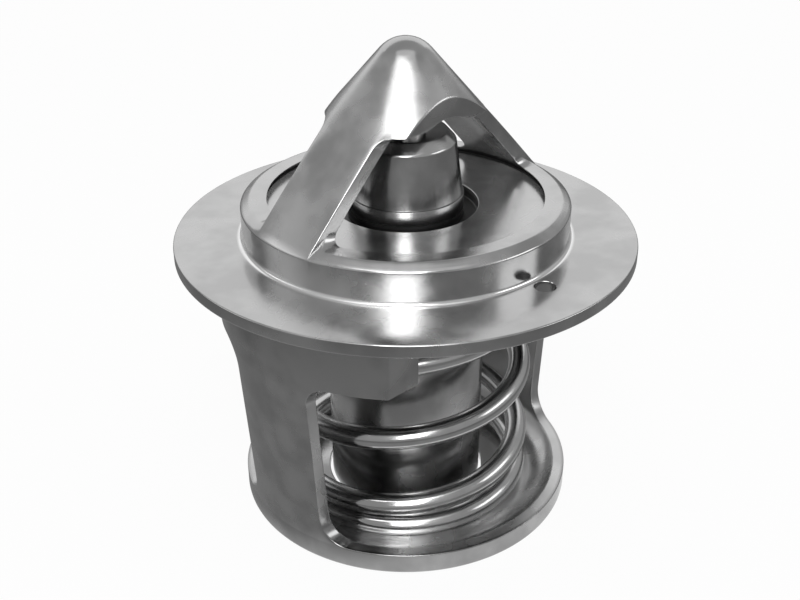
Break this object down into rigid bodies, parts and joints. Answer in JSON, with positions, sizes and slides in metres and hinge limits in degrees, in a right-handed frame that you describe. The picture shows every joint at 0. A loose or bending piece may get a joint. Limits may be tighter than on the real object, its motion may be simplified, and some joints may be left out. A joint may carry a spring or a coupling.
{
  "type": "engine thermostat",
  "caption": "Wax element engine thermostat with a flat flange, conical bridge, coil spring and lower cage. The disc valve slides down on its piston to open.",
  "frame": {"origin": "centre of the cage's bottom ring, in the plane that the part stands on", "axes": "+Z along the valve's axis, up to the bridge's nose; X through the two arms and legs; the bleed hole is on -Y"},
  "size_m": [0.054, 0.054, 0.0577],
  "materials": {
    "frame_steel": "satin",
    "cage_steel": "satin",
    "disc_steel": "satin",
    "turned_metal": "satin",
    "cup_metal": "satin",
    "spring_steel": "satin",
    "piston_steel": "polished",
    "seal_rubber": "matt",
    "washer_plastic": "matt",
    "wax": "matt"
  },
  "bodies": {
    "frame": {"upper_frame": "frame_steel", "lower_cage": "cage_steel", "piston": "piston_steel", "main_spring": "spring_steel"},
    "valve": {"valve_disc": "disc_steel", "valve_seal": "seal_rubber", "disc_retainer": "turned_metal", "guide_stem": "turned_metal", "guide_cap": "turned_metal", "wiper_seal": "seal_rubber", "backup_washer": "washer_plastic", "rubber_boot": "seal_rubber", "wax_charge": "wax", "element_cup": "cup_metal"}
  },
  "joints": [
    {"name": "valve_lift", "type": "slide", "parent": "frame", "child": "valve", "axis": [0, 0, -1], "range_m": [0, 0.008], "stiffness_N_per_m": 7000, "springref_m": -0.012, "deforming": ["main_spring"]}
  ]
}
